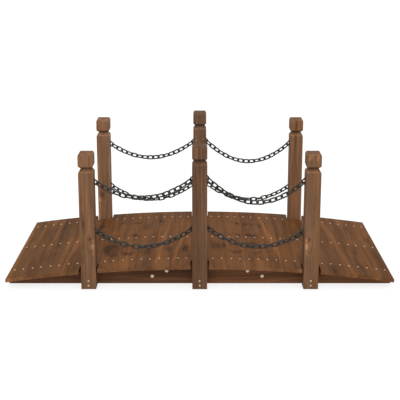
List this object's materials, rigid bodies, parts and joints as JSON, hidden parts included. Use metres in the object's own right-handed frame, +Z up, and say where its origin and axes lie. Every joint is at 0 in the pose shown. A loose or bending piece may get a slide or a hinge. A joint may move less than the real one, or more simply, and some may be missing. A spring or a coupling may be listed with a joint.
{
  "type": "wooden garden bridge",
  "caption": "Low arched garden footbridge with cross planks on sawn beams, square posts with grooved caps, and hanging chain rails along both sides.",
  "frame": {"origin": "on the ground under the middle of the bridge", "axes": "+X along the walkway, +Y across to the back railing, +Z up"},
  "size_m": [1.5026, 0.661, 0.57],
  "materials": {
    "deck_wood": "brown stain, satin, visible grain",
    "beam_wood": "dark brown stain, satin",
    "post_wood": "brown stain, satin, visible grain",
    "chain_steel": "dark grey, low gloss",
    "zinc_steel": "yellowish zinc plating"
  },
  "bodies": {
    "root": {"plank_01": "deck_wood", "plank_02": "deck_wood", "plank_03": "deck_wood", "plank_04": "deck_wood", "plank_05": "deck_wood", "plank_06": "deck_wood", "plank_07": "deck_wood", "plank_08": "deck_wood", "plank_09": "deck_wood", "plank_10": "deck_wood", "plank_11": "deck_wood", "plank_12": "deck_wood", "plank_13": "deck_wood", "plank_14": "deck_wood", "plank_15": "deck_wood", "plank_16": "deck_wood", "plank_17": "deck_wood", "plank_18": "deck_wood", "plank_19": "deck_wood", "plank_20": "deck_wood", "plank_21": "deck_wood", "beam_front_left": "beam_wood", "beam_front_right": "beam_wood", "beam_middle_left": "beam_wood", "beam_middle_right": "beam_wood", "beam_back_left": "beam_wood", "beam_back_right": "beam_wood", "splice_front": "beam_wood", "splice_middle": "beam_wood", "splice_back": "beam_wood", "post_front_left": "post_wood", "post_front_middle": "post_wood", "post_front_right": "post_wood", "post_back_left": "post_wood", "post_back_middle": "post_wood", "post_back_right": "post_wood", "chain_front_left_upper": "chain_steel", "chain_front_left_lower": "chain_steel", "chain_front_right_upper": "chain_steel", "chain_front_right_lower": "chain_steel", "chain_back_left_upper": "chain_steel", "chain_back_left_lower": "chain_steel", "chain_back_right_upper": "chain_steel", "chain_back_right_lower": "chain_steel"}
  },
  "joints": []
}
